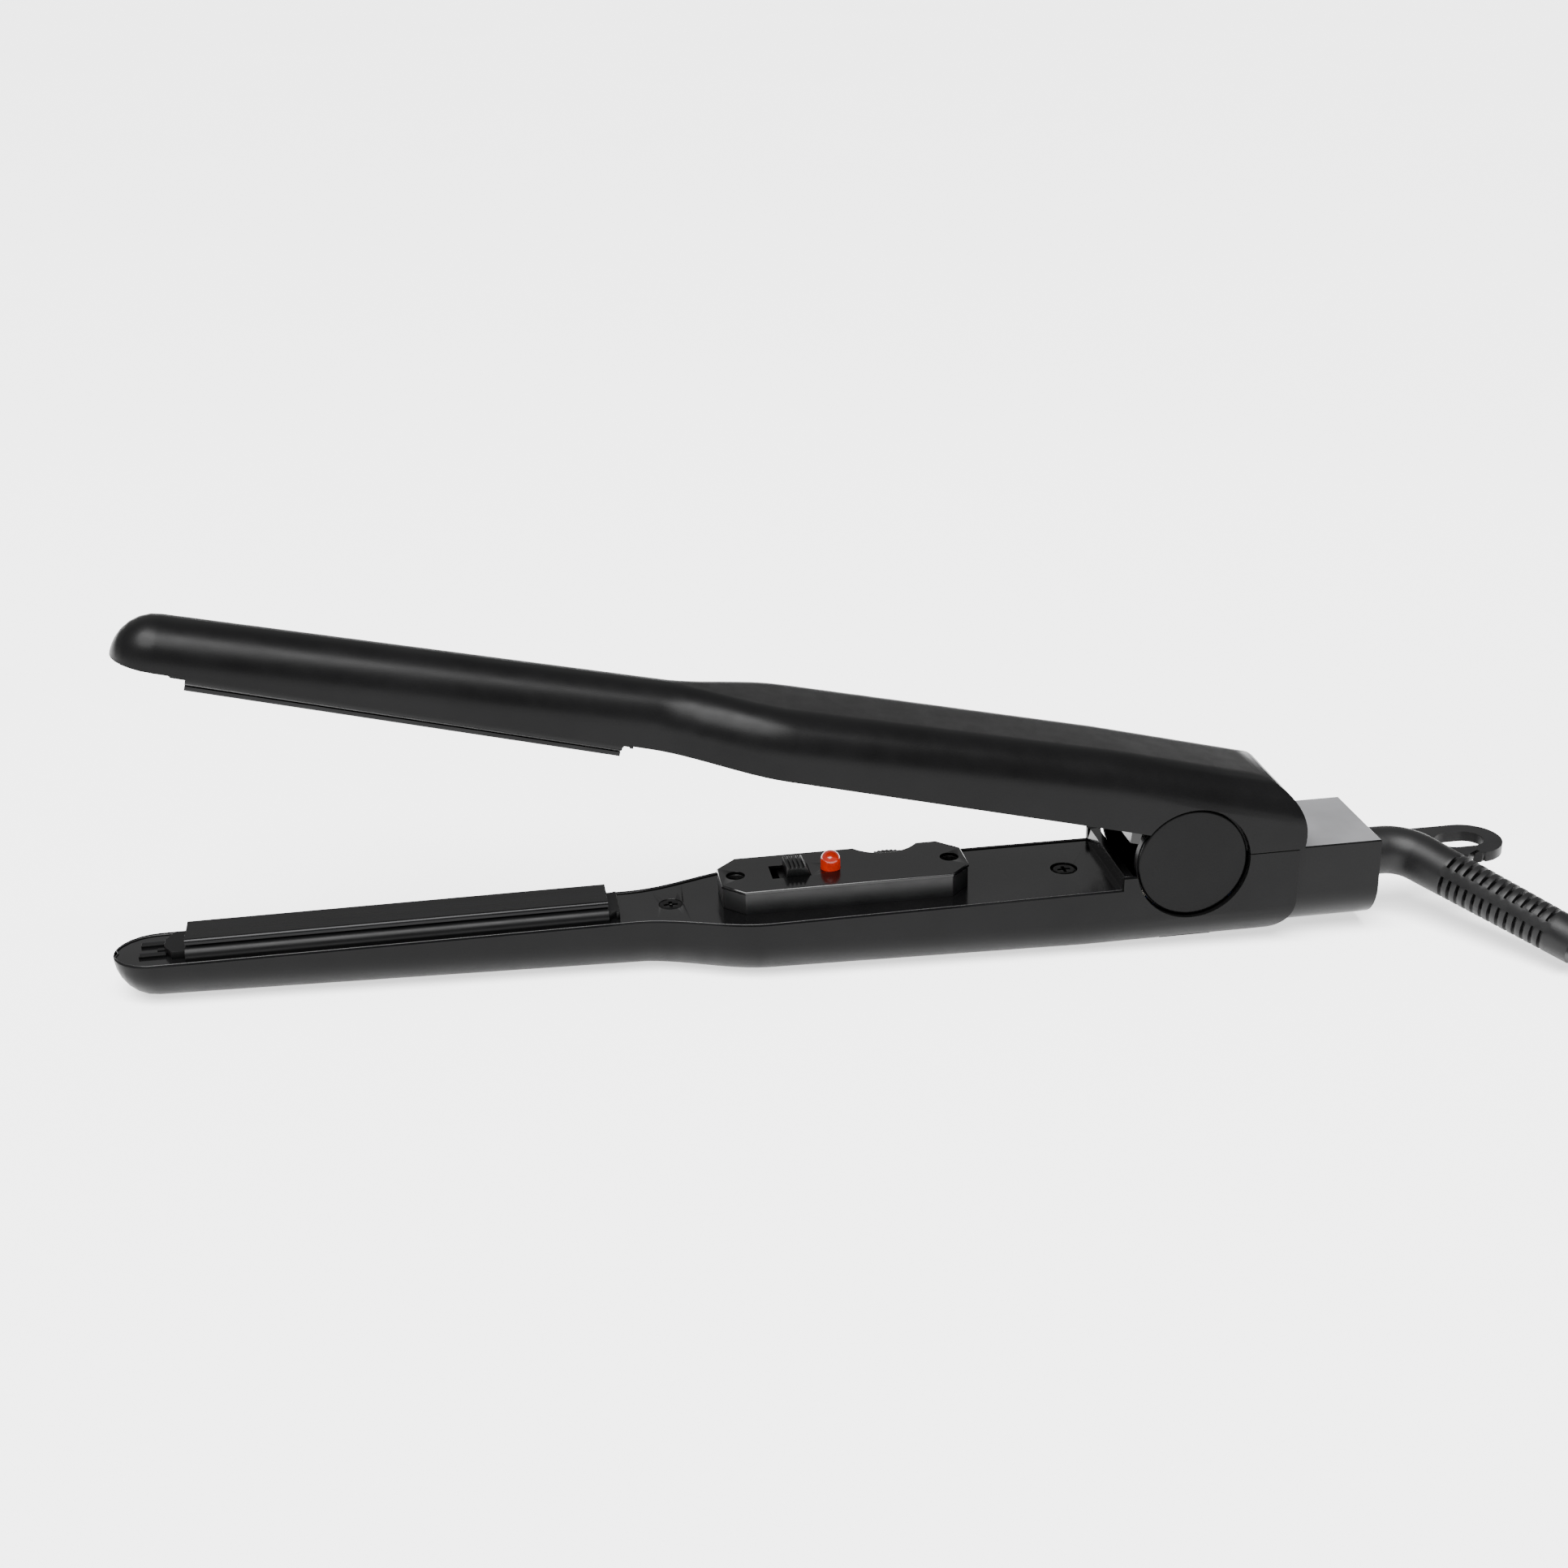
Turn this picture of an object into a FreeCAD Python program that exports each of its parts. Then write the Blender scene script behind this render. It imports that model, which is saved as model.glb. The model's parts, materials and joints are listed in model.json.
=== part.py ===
"""Slim hand-held hair iron with two hinged arms, built as separate pieces.

Two frames are used. The arm frame has X along the lower arm towards the cord, Y across it and Z up, with
the plane of the closed hinge level. The tool is modelled there. place() then lays it on the table, where
the arm leans forward on its straight underside. The cord, its hank and its plug are modelled as they lie.
All sizes are millimetres.
"""
import FreeCAD
import Part
import math
import os

V = FreeCAD.Vector
X, Y, Z = V(1, 0, 0), V(0, 1, 0), V(0, 0, 1)

# overall
TIP_X = -132.0              # tip of the lower arm
TAIL_X = 132.0              # end of the tail block
HINGE_X = 89.75
HINGE_Z = 19.5
OPEN_ANGLE = 14.15          # degrees between the arms at the open stop
LEAN = 1.7                  # degrees the underside slopes against the hinge plane
BELLY_END_X = 68.0          # the straight underside ends here
SHIFT_X = 0.19              # brings the middle of the tool's length to X = 0

# housings
FRONT_HALF, GRIP_HALF, HINGE_HALF = 8.0, 14.6, 14.0
FLARE_START_X, FLARE_END_X = -27.0, 0.0
STEP_X = 74.7               # end of the sunk inner face
TIP_LENGTH = 8.6            # length of the rounded nose
CORNER = 8.0                # radius along the lower edges
WALL = 1.6
RIM_Z = 14.6                # level of the inner face
RAISED_Z = 17.4             # top of the step in front of the hinge
SEAM_Z = 20.5               # top of the lower housing behind the hinge
SEAM_GAP = 0.2
REAR_X = 112.9              # rear end of both housings
REAR_RADIUS, UPPER_REAR_RADIUS = 9.5, 12.5
LEDGE = 1.2                 # width of the rim around the inner face
PANEL_GAP = 0.12
PANEL_Z = RIM_Z - 0.1
PANEL_THICK = 1.4

# heating section
PLATE_X0, PLATE_X1 = -117.3, -32.3
PLATE_HALF = 4.65
PLATE_Z = 18.5
PLATE_THICK = 1.1
CARRIER_HALF, CARRIER_TOP_HALF = 6.1, 5.0
CARRIER_Z = 17.0
END_Z = 16.2
BLOCK_HALF, BLOCK_Z = 3.5, 14.9
BLOCK_END_X, HEATER_END_X = PLATE_X1 - 9.0, PLATE_X1 - 8.0

# switch box
BOX_X = 17.6
BOX_LENGTH, BOX_HALF, BOX_CHAMFER = 52.4, 8.5, 4.3
BOX_Z, LID_THICK = 19.7, 0.7
BOX_SCREWS_X = (-5.2, 40.5)
LAMP_X, LAMP_R, LAMP_Z = 15.0, 2.1, 23.5
SLOT_X0, SLOT_X1, SLOT_HALF = 2.2, 10.4, 3.1
KNOB_X0, KNOB_X1, KNOB_HALF, KNOB_Z = 5.2, 10.2, 2.85, 21.9
WHEEL_X = 28.2
WHEEL_Y = 1.6
WHEEL_R = 6.4
WHEEL_Z0, WHEEL_Z1 = 16.4, 18.9
WHEEL_TEETH, TOOTH_R = 42, 0.3
DIP_DEPTH, DIP_RADIUS = 3.5, 8.4
BOARD_Z = 9.2
POT_R = 4.6
PANEL_SCREWS_X = (-19.0, 65.7)

# hinge
EAR_R, NOTCH_R = 12.0, 12.3
EAR_IN, EAR_OUT = 10.6, 12.2
POST_IN, POST_OUT = 8.2, 10.4
PIN_R, PIN_FIT = 2.0, 0.05
CAP_R, CAP_OUT = 11.8, 13.2
SPRING_R, SPRING_WIRE, SPRING_TURNS, SPRING_TOP_Z = 4.0, 1.2, 7, 38.6

# tail and cord outlet
TAIL_HALF, TAIL_Z, TAIL_CORNER = 12.0, 20.2, 9.5
CORD_Z = 12.0               # height of the cord outlet's axis
NECK_R = 3.5
BOOT_R0, BOOT_R1, BOOT_GAP = 5.25, 4.6, 0.2
ELBOW_X, ELBOW_RADIUS = 142.2, 9.0
LOOP_X0, LOOP_X1, LOOP_Y, LOOP_R, LOOP_THICK = 146.0, 157.0, -0.7, 7.6, 2.3
LOOP_SLOT_X0, LOOP_SLOT_R = 153.6, 3.7

# mains cord, as it lies on the table
CORD_D = 5.5
BOOT_END = (166.0, -36.0, 6.8)
CORD_ROUTE = [BOOT_END, (172.7, -46.0, 4.7), (183.5, -54.5, 3.2), (197.0, -58.4, 2.8), (213.0, -58.7, 2.8)]
CORD_TAIL = [(202.0, -53.5, 15.0), (218.0, -51.8, 19.6), (236.5, -43.8, 22.3), (251.5, -38.0, 23.6),
             (264.0, -38.0, 23.6)]
HANK_X, HANK_Y, HANK_TOP = 252.0, -34.0, 16.6
HANK_PROFILE = [(-62.6, 4), (-61, 9.5), (-58, 15.4), (-53, 21), (-45, 25.7), (-35, 27.4), (-27, 25.5),
                (-17.5, 20), (-8, 14.5), (0, 12.8)]
TIE_HALF, TIE_WIDTH, TIE_THICK = 13.2, 9.0, 1.2
PLUG_RELIEF, PLUG_LENGTH, PLUG_HALF, PLUG_THICK = 14.0, 34.0, 17.5, 13.8
PLUG_PIN_R, PLUG_PIN_LENGTH, PLUG_PIN_PITCH = 2.0, 19.0, 18.6

BIG = 200.0


# ---- small helpers ----

def box(x0, x1, y0, y1, z0, z1):
    return Part.makeBox(x1 - x0, y1 - y0, z1 - z0, V(x0, y0, z0))


def across(half, x0, x1, z0, z1):
    return box(x0, x1, -half, half, z0, z1)


def rod(r, start, direction, length):
    return Part.makeCylinder(r, length, V(*start), direction)


def post(r, x, y, z0, z1):
    return rod(r, (x, y, z0), Z, z1 - z0)


def axle(r, x, z, y0, y1):
    return rod(r, (x, y0, z), Y, y1 - y0)


def both_sides(shape):
    return shape.fuse(shape.mirror(V(0, 0, 0), Y))


def join(shapes):
    shapes = list(shapes)
    return shapes[0].multiFuse(shapes[1:]).removeSplitter() if len(shapes) > 1 else shapes[0]


def prism(points, z0, z1):
    wire = Part.makePolygon([V(x, y, z0) for x, y in points + points[:1]])
    return Part.Face(wire).extrude(V(0, 0, z1 - z0))


def slab(points, y0, y1):
    wire = Part.makePolygon([V(x, y0, z) for x, z in points + points[:1]])
    return Part.Face(wire).extrude(V(0, y1 - y0, 0))


def stadium(x0, x1, y, r, z0, z1):
    bar = box(x0, x1, y - r, y + r, z0, z1)
    return join([bar, post(r, x0, y, z0, z1), post(r, x1, y, z0, z1)])


def tube(points, diameter, name=""):
    """Straight runs joined by tangent arcs, each as large as its two runs allow."""
    p = [V(*q) for q in points]
    edges, radii, start = [], [], p[0]
    for a, b, c in zip(p, p[1:], p[2:]):
        run = min((b - a).Length, (c - b).Length)
        back, on = (a - b).normalize(), (c - b).normalize()
        turn = math.pi - back.getAngle(on)
        reach = 0.45 * run
        radius = reach / math.tan(turn / 2)
        first, last = b + back * reach, b + on * reach
        middle = b + (back + on).normalize() * (radius / math.cos(turn / 2) - radius)
        edges += [Part.LineSegment(start, first).toShape(), Part.Arc(first, middle, last).toShape()]
        radii.append(round(radius, 1))
        start = last
    edges.append(Part.LineSegment(start, p[-1]).toShape())
    path = Part.Wire(edges)
    ring = Part.Wire(Part.makeCircle(diameter / 2, p[0], p[1] - p[0]))
    solid = path.makePipeShell([ring], True, False)
    share = solid.Volume / (math.pi * diameter ** 2 / 4 * path.Length)
    if name:
        print(f"{name}: length {path.Length:.1f}, radii {radii}, volume share {share:.4f}")
    return solid


# ---- the shape of an arm ----

def nose(x):
    """1 behind the rounded nose, falling to 0 at the tip."""
    t = max(0.0, (TIP_X + TIP_LENGTH - x) / TIP_LENGTH)
    return math.sqrt(max(0.0, 1 - t * t))


def half_width(x):
    t = min(1.0, max(0.0, (x - FLARE_START_X) / (FLARE_END_X - FLARE_START_X)))
    flare = FRONT_HALF + (GRIP_HALF - FRONT_HALF) * t * t * (3 - 2 * t)
    taper = (GRIP_HALF - HINGE_HALF) * min(1.0, max(0.0, x / STEP_X))
    return (flare - taper) * nose(x)


def underside(x):
    low = max(0.0, (BELLY_END_X - max(x, TIP_X + TIP_LENGTH)) * math.tan(math.radians(LEAN)))
    return RIM_Z - (RIM_Z - low) * nose(x)


def stations():
    """X places of the cross-sections: close together on the nose and the flare."""
    steps = (85, 78, 68, 56, 42, 28, 14)
    nose_x = [TIP_X + TIP_LENGTH * (1 - math.sin(math.radians(a))) for a in steps]
    flare_x = [FLARE_START_X + 2.25 * k for k in range(13)]
    return nose_x + [TIP_X + TIP_LENGTH] + flare_x + [BELLY_END_X, STEP_X, 118.0]


def section(x, inset, top):
    w = half_width(x) - inset
    low = underside(x) + inset
    r = max(0.2, min(CORNER - inset, w - 0.15, top - low - 0.5))
    s = r * (1 - math.sqrt(0.5))
    a, b, c = V(x, -w, top), V(x, -w, low + r), V(x, -w + r, low)
    d, e, f = V(x, w - r, low), V(x, w, low + r), V(x, w, top)
    left = Part.Arc(b, V(x, -w + s, low + s), c).toShape()
    right = Part.Arc(d, V(x, w - s, low + s), e).toShape()
    lines = [Part.LineSegment(p, q).toShape() for p, q in ((a, b), (c, d), (e, f), (f, a))]
    return Part.Wire([lines[0], left, lines[1], right, lines[2], lines[3]])


def arm_blank(inset, top, rear_x, rear_radius):
    """The outside of an arm, or its hollow when it is inset by the wall."""
    places = [x for x in stations() if half_width(x) - inset > 0.4]
    body = Part.makeLoft([section(x, inset, top) for x in places], True, True)
    end = box(-BIG, rear_x, -BIG, BIG, inset, BIG)
    rear_edges = [e for e in end.Edges if abs(e.CenterOfMass.x - rear_x) < 0.01]
    lower_edge = [e for e in rear_edges if abs(e.CenterOfMass.z - inset) < 0.01]
    return body.common(end.makeFillet(rear_radius, lower_edge))


def strip(inset, z0, z1, x0, x1):
    """A flat plate with the arm's outline, inset from it."""
    places = [x for x in stations() if half_width(x) - inset > 0.4]
    rings = []
    for x in places:
        w = half_width(x) - inset
        corners = [V(x, -w, z0), V(x, w, z0), V(x, w, z1), V(x, -w, z1), V(x, -w, z0)]
        rings.append(Part.makePolygon(corners))
    return Part.makeLoft(rings, True, True).common(box(x0, x1, -BIG, BIG, z0 - 1, z1 + 1))


def to_upper(shape):
    """Turn a piece of the lower arm into its mirror image on the raised upper arm."""
    turned = shape.mirror(V(0, 0, HINGE_Z), Z)
    turned.rotate(V(HINGE_X, 0, HINGE_Z), Y, OPEN_ANGLE)
    return turned


def from_open(shape):
    """Bring a shape of the open upper arm into the frame that to_upper() starts from."""
    turned = shape.copy()
    turned.rotate(V(HINGE_X, 0, HINGE_Z), Y, -OPEN_ANGLE)
    return turned.mirror(V(0, 0, HINGE_Z), Z)


def place(shape):
    """Lay the tool on the table."""
    laid = shape.copy()
    laid.rotate(V(BELLY_END_X, 0, 0), Y, -LEAN)
    laid.translate(V(SHIFT_X, 0, 0))
    return laid


# ---- housings ----

def screw_posts(places, top):
    return [post(2.8, x, 0, WALL / 2, top) for x in places]


def pin_notch(radius, y0, y1):
    return both_sides(axle(radius, HINGE_X, HINGE_Z, y0, y1))


def shell(rear_radius):
    outer = arm_blank(0, SEAM_Z, REAR_X, rear_radius)
    hollow = arm_blank(WALL, SEAM_Z + 5, REAR_X - WALL, rear_radius - WALL)
    recess = strip(LEDGE, RIM_Z - PANEL_THICK - 0.1, RIM_Z + 8, TIP_X - 1, STEP_X + 3.2)
    posts = screw_posts(PANEL_SCREWS_X, RIM_Z - PANEL_THICK - 0.1)
    solid = outer.cut(hollow).cut(recess).fuse([p.common(outer) for p in posts])
    for x in PANEL_SCREWS_X:
        solid = solid.cut(post(1.25, x, 0, 4.0, RIM_Z))
    return solid


def lower_housing():
    solid = shell(REAR_RADIUS)
    solid = solid.cut(box(-BIG, STEP_X, -BIG, BIG, RIM_Z, BIG))
    solid = solid.cut(box(STEP_X - 1, HINGE_X, -BIG, BIG, RAISED_Z, BIG))
    solid = solid.cut(pin_notch(NOTCH_R, EAR_IN - 0.2, BIG / 4))
    ear = axle(5.6, HINGE_X, HINGE_Z, POST_IN, POST_OUT)
    leg = box(HINGE_X - 5.6, HINGE_X + 5.6, POST_IN, POST_OUT, WALL - 0.4, HINGE_Z)
    outer = arm_blank(0, SEAM_Z, REAR_X, REAR_RADIUS)
    bosses = [boss.common(outer) for boss in screw_posts(BOX_SCREWS_X, BOARD_Z)]
    solid = join([solid, both_sides(ear.fuse(leg))] + bosses)
    solid = solid.cut(axle(PIN_R, HINGE_X, HINGE_Z, -BIG, BIG))
    for x in BOX_SCREWS_X:
        solid = solid.cut(post(1.1, x, 0, 3.5, BIG))
    return solid.cut(spigot(0))


def upper_housing():
    """Drawn as a lower arm and turned over by to_upper()."""
    solid = shell(UPPER_REAR_RADIUS)
    solid = solid.cut(box(-BIG, HINGE_X, -BIG, BIG, RIM_Z, BIG))
    below_seam = from_open(box(HINGE_X, BIG, -BIG, BIG, -BIG, SEAM_Z + SEAM_GAP))
    solid = solid.cut(below_seam)
    web = both_sides(box(72.0, 108.0, EAR_IN, 13.0, 1.0, SEAM_Z + 4))
    web = web.common(arm_blank(0.2, SEAM_Z + 5, 112.0, 9.0))
    web = web.cut(box(-BIG, HINGE_X, -BIG, BIG, RIM_Z, BIG)).cut(below_seam)
    web = web.common(box(STEP_X + 2.6, 104.0, -BIG, BIG, -1, BIG))
    disc = both_sides(axle(EAR_R, HINGE_X, HINGE_Z, EAR_IN, EAR_OUT))
    solid = solid.fuse(web).cut(pin_notch(NOTCH_R, EAR_OUT, BIG / 4)).fuse(disc)
    room = pin_notch(EAR_R + 6.0, -0.1, EAR_IN)
    solid = solid.cut(room.common(box(70, 110, -BIG, BIG, HINGE_Z - 9.5, BIG)))
    return solid.cut(axle(PIN_R + PIN_FIT, HINGE_X, HINGE_Z, -BIG, BIG)).removeSplitter()


def inner_panel():
    low = PANEL_Z - PANEL_THICK
    sheet = strip(LEDGE + PANEL_GAP, low, PANEL_Z, TIP_X, STEP_X)
    wall = across(HINGE_HALF - LEDGE - PANEL_GAP, STEP_X - 1.4, STEP_X + 2.4, low, RAISED_Z)
    slope = [(STEP_X - 2, PANEL_Z), (STEP_X - 2, RAISED_Z + 1),
             (STEP_X + 0.6, RAISED_Z + 1), (STEP_X, PANEL_Z)]
    ramp = slab(slope, -BIG, BIG)
    solid = sheet.fuse(wall.cut(ramp))
    flat_x, deep_x = PANEL_SCREWS_X
    solid = solid.cut(post(2.5, flat_x, 0, PANEL_Z - 0.7, BIG))
    solid = solid.cut(post(2.9, deep_x, 0, low + 0.5, BIG))
    for x in PANEL_SCREWS_X:
        solid = solid.cut(post(1.4, x, 0, 0, BIG))
    return solid.removeSplitter()


def lower_inner_panel():
    solid = inner_panel()
    solid = solid.cut(across(6.4, 0.0, 36.0, 0, BIG))
    for x in BOX_SCREWS_X:
        solid = solid.cut(post(1.4, x, 0, 0, BIG))
    return solid.cut(lead_window())


def upper_inner_panel():
    solid = inner_panel()
    return solid.cut(post(4.0, LAMP_X, 0, PANEL_Z - 0.8, BIG)).cut(lead_window())


# ---- heating section ----

def plate_carrier():
    """Half-round bar under the heating plate, with a low end piece at each end."""
    side = [(-CARRIER_HALF, PANEL_Z), (CARRIER_HALF, PANEL_Z), (CARRIER_TOP_HALF, CARRIER_Z),
            (-CARRIER_TOP_HALF, CARRIER_Z)]
    p = [V(PLATE_X0, y, z) for y, z in side]
    bulge_z = (PANEL_Z + CARRIER_Z) / 2
    right = Part.Arc(p[1], V(PLATE_X0, CARRIER_HALF + 0.1, bulge_z), p[2]).toShape()
    left = Part.Arc(p[3], V(PLATE_X0, -CARRIER_HALF - 0.1, bulge_z), p[0]).toShape()
    bottom, top = (Part.LineSegment(a, b).toShape() for a, b in ((p[0], p[1]), (p[2], p[3])))
    bar = Part.Face(Part.Wire([bottom, right, top, left])).extrude(V(PLATE_X1 - PLATE_X0, 0, 0))
    toe_x, half, cut = PLATE_X0 - 4.4, 4.6, 1.6
    toe = prism([(PLATE_X0, -half), (PLATE_X0, half), (toe_x + cut, half), (toe_x, half - 2 * cut),
                 (toe_x, -half + 2 * cut), (toe_x + cut, -half)], PANEL_Z, END_Z)
    heel = across(5.0, PLATE_X1, PLATE_X1 + 2.3, PANEL_Z, END_Z)
    notch = both_sides(box(PLATE_X1 + 0.4, PLATE_X1 + 1.6, 4.3, 6.0, PANEL_Z, END_Z))
    arms = [box(toe_x - 5.0, toe_x + 0.4, y - 0.8, y + 0.8, PANEL_Z, PANEL_Z + 0.5) for y in (-2.4, 2.4)]
    tongue = box(toe_x - 1.6, toe_x + 0.4, -0.5, 0.5, PANEL_Z, PANEL_Z + 0.3)
    body = join([bar, toe, heel.cut(notch), tongue] + arms)
    body = body.cut(across(BLOCK_HALF + 0.1, PLATE_X0 + 1, PLATE_X1 - 1, BLOCK_Z, CARRIER_Z + 1))
    return body.cut(lead_window())


def heat_plate():
    """Extruded plate: a smooth face with rounded long edges over a block that holds the heater."""
    low = PLATE_Z - PLATE_THICK
    face = across(PLATE_HALF, PLATE_X0, PLATE_X1, low, PLATE_Z)
    top_edges = [e for e in face.Edges if e.CenterOfMass.z > low + 0.1]
    long_edges = [e for e in top_edges if abs(e.Length - (PLATE_X1 - PLATE_X0)) < 0.01]
    face = face.makeFillet(0.7, long_edges)
    block = across(BLOCK_HALF, PLATE_X0 + 1.2, BLOCK_END_X, BLOCK_Z, low)
    slot = across(2.7, PLATE_X0 - 1, PLATE_X1 + 1, BLOCK_Z + 0.5, BLOCK_Z + 2.0)
    return face.fuse(block).cut(slot).removeSplitter()


def heater():
    """Flat ceramic heater with its insulating film ends, inside the plate's slot."""
    body = across(2.5, PLATE_X0 + 12, PLATE_X1 - 12, BLOCK_Z + 0.6, BLOCK_Z + 1.9)
    ends = [across(2.0, a, b, BLOCK_Z + 0.8, BLOCK_Z + 1.7) for a, b in
            ((PLATE_X0 + 10, PLATE_X0 + 12), (PLATE_X1 - 12, HEATER_END_X))]
    return join([body] + ends)


def heater_leads(end_x):
    """Two insulated leads from the heater, down through the window and past the screw posts."""
    leads = []
    for y in (-1.0, 1.0):
        points = [(HEATER_END_X, y, BLOCK_Z + 1.2), (PLATE_X1 - 4.4, y, BLOCK_Z + 0.2),
                  (PLATE_X1 - 2.4, y, 11.4), (PLATE_X1 + 3.0, y * 2.5, 8.2), (PLATE_X1 + 11.0, y * 4.6, 7.4),
                  (end_x - 8.0, y * 4.6, 7.3), (end_x, y * 4.4, 7.9)]
        leads.append(tube(points, 1.1))
    return Part.makeCompound(leads)


def lead_window():
    """Where the heater's leads go down through the carrier and the panel."""
    return across(2.1, PLATE_X1 - 7.9, PLATE_X1 - 0.7, 0, BLOCK_Z + 0.05)


def thermal_fuse():
    """Cylinder fuse in one heater lead's sleeve, strapped under the panel."""
    x0 = PLATE_X1 - 26
    body = rod(1.6, (x0, 0, 9.4), X, 12.0)
    tips = [rod(0.5, (x, 0, 9.4), X, 5.0) for x in (x0 - 5.0, x0 + 12.0)]
    return join([body] + tips)


# ---- screws ----

def cross_screw(x, head_z, head_r, head_h, length):
    head = post(head_r, x, 0, head_z - head_h, head_z)
    shank = post(1.0, x, 0, head_z - head_h - length, head_z - head_h)
    arm = head_r * 0.62
    cross = [box(x - arm, x + arm, -0.35, 0.35, head_z - 0.6, head_z + 1),
             box(x - 0.35, x + 0.35, -arm, arm, head_z - 0.6, head_z + 1)]
    return head.fuse(shank).cut(cross)


def panel_screws():
    flat_x, deep_x = PANEL_SCREWS_X
    return Part.makeCompound([cross_screw(flat_x, PANEL_Z - 0.1, 2.4, 0.6, 7.0),
                              cross_screw(deep_x, PANEL_Z - 0.2, 2.3, 0.7, 7.0)])


def box_screws():
    return Part.makeCompound([cross_screw(x, 18.4, 1.85, 1.5, 12.0) for x in BOX_SCREWS_X])


# ---- switch box ----

def box_outline(inset, z0, z1):
    """Octagon with a shallow round dip in its far side, where a finger turns the wheel."""
    h, c = BOX_HALF - inset, BOX_CHAMFER - 0.4 * inset
    x0, x1 = BOX_X - BOX_LENGTH / 2 + inset, BOX_X + BOX_LENGTH / 2 - inset
    corners = [(x0, -h + c), (x0 + c, -h), (x1 - c, -h), (x1, -h + c),
               (x1, h - c), (x1 - c, h), (x0 + c, h), (x0, h - c)]
    octagon = prism(corners, z0, z1)
    dip = post(DIP_RADIUS + inset, WHEEL_X, BOX_HALF - DIP_DEPTH + DIP_RADIUS, z0 - 1, z1 + 1)
    return octagon.cut(dip)


def switch_box_base():
    top = BOX_Z - LID_THICK
    ring = box_outline(0.15, PANEL_Z, top)
    hollow = box_outline(1.5, PANEL_Z - 1, top + 1).common(across(BIG, 0.5, 35.5, 0, BIG))
    ring = ring.cut(hollow)
    ring = ring.cut(post(WHEEL_R + 0.4, WHEEL_X, WHEEL_Y, WHEEL_Z0 - 0.2, BIG))
    ring = ring.cut(post(POT_R + 0.2, WHEEL_X, WHEEL_Y, 0, WHEEL_Z0))
    for x in BOX_SCREWS_X:
        ring = ring.cut(post(2.0, x, 0, 16.9, BIG)).cut(post(1.1, x, 0, 0, BIG))
    return ring


def switch_box_cover():
    plate = box_outline(0, BOX_Z - LID_THICK, BOX_Z)
    rim = [e for e in plate.Edges if abs(e.CenterOfMass.z - BOX_Z) < 0.01]
    plate = plate.makeChamfer(0.18, rim)
    plate = plate.cut(across(SLOT_HALF, SLOT_X0, SLOT_X1, 0, BIG)).cut(post(LAMP_R + 0.06, LAMP_X, 0, 0, BIG))
    for x in BOX_SCREWS_X:
        plate = plate.cut(post(2.0, x, 0, 0, BIG))
    return plate


def power_lamp():
    stem = post(LAMP_R, LAMP_X, 0, 17.6, LAMP_Z - LAMP_R)
    dome = Part.makeSphere(LAMP_R, V(LAMP_X, 0, LAMP_Z - LAMP_R))
    flange = post(2.6, LAMP_X, 0, 17.6, 18.4)
    legs = [post(0.3, LAMP_X, y, BOARD_Z + 1.6, 17.6) for y in (-1.1, 1.1)]
    return join([stem, dome, flange] + legs)


def switch_knob():
    """Ribbed slider button with a wide foot that keeps it under the cover."""
    knob = across(KNOB_HALF, KNOB_X0, KNOB_X1, 17.4, KNOB_Z)
    slope = slab([(KNOB_X1 - 1.1, KNOB_Z), (KNOB_X1, 19.9), (KNOB_X1 + 1, 19.9), (KNOB_X1 + 1, KNOB_Z + 1),
                  (KNOB_X1 - 1.1, KNOB_Z + 1)], -BIG, BIG)
    foot = across(4.2, KNOB_X0 - 1.2, KNOB_X1 + 1.6, 17.4, 18.6)
    grooves = [across(BIG, x, x + 0.45, KNOB_Z - 0.55, BIG) for x in (5.75, 6.65, 7.55, 8.45)]
    return knob.cut(slope).fuse(foot).cut(grooves)


def slide_switch():
    body = across(3.6, 0.8, 13.6, BOARD_Z + 1.6, 17.1)
    pins = [post(0.4, x, y, BOARD_Z - 0.8, BOARD_Z + 1.7) for x in (3.0, 7.2, 11.4) for y in (-2.4, 2.4)]
    return join([body] + pins)


def temperature_wheel():
    wheel = post(WHEEL_R - TOOTH_R, WHEEL_X, WHEEL_Y, WHEEL_Z0, WHEEL_Z1)
    teeth = []
    for k in range(WHEEL_TEETH):
        a = 2 * math.pi * k / WHEEL_TEETH
        x, y = WHEEL_X + (WHEEL_R - TOOTH_R) * math.cos(a), WHEEL_Y + (WHEEL_R - TOOTH_R) * math.sin(a)
        teeth.append(post(TOOTH_R, x, y, WHEEL_Z0, WHEEL_Z1))
    return join([wheel] + teeth).cut(post(1.5, WHEEL_X, WHEEL_Y, 0, BIG))


def wheel_shaft():
    return post(1.5, WHEEL_X, WHEEL_Y, 13.0, WHEEL_Z1 - 0.1)


def potentiometer():
    can = post(POT_R, WHEEL_X, WHEEL_Y, BOARD_Z + 1.6, 15.9)
    legs = [post(0.4, WHEEL_X + dx, WHEEL_Y - 3.4, BOARD_Z - 0.8, BOARD_Z + 1.7) for dx in (-2.5, 0.0, 2.5)]
    return join([can] + legs).cut(post(1.58, WHEEL_X, WHEEL_Y, 12.9, BIG))


def circuit_board():
    board = across(10.0, -9.0, 46.0, BOARD_Z, BOARD_Z + 1.6)
    for x in BOX_SCREWS_X:
        board = board.cut(post(1.4, x, 0, 0, BIG))
    for x in (3.0, 7.2, 11.4):
        board = board.cut([post(0.4, x, y, 0, BIG) for y in (-2.4, 2.4)])
    return board.cut([post(0.4, WHEEL_X + dx, WHEEL_Y - 3.4, 0, BIG) for dx in (-2.5, 0.0, 2.5)])


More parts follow.
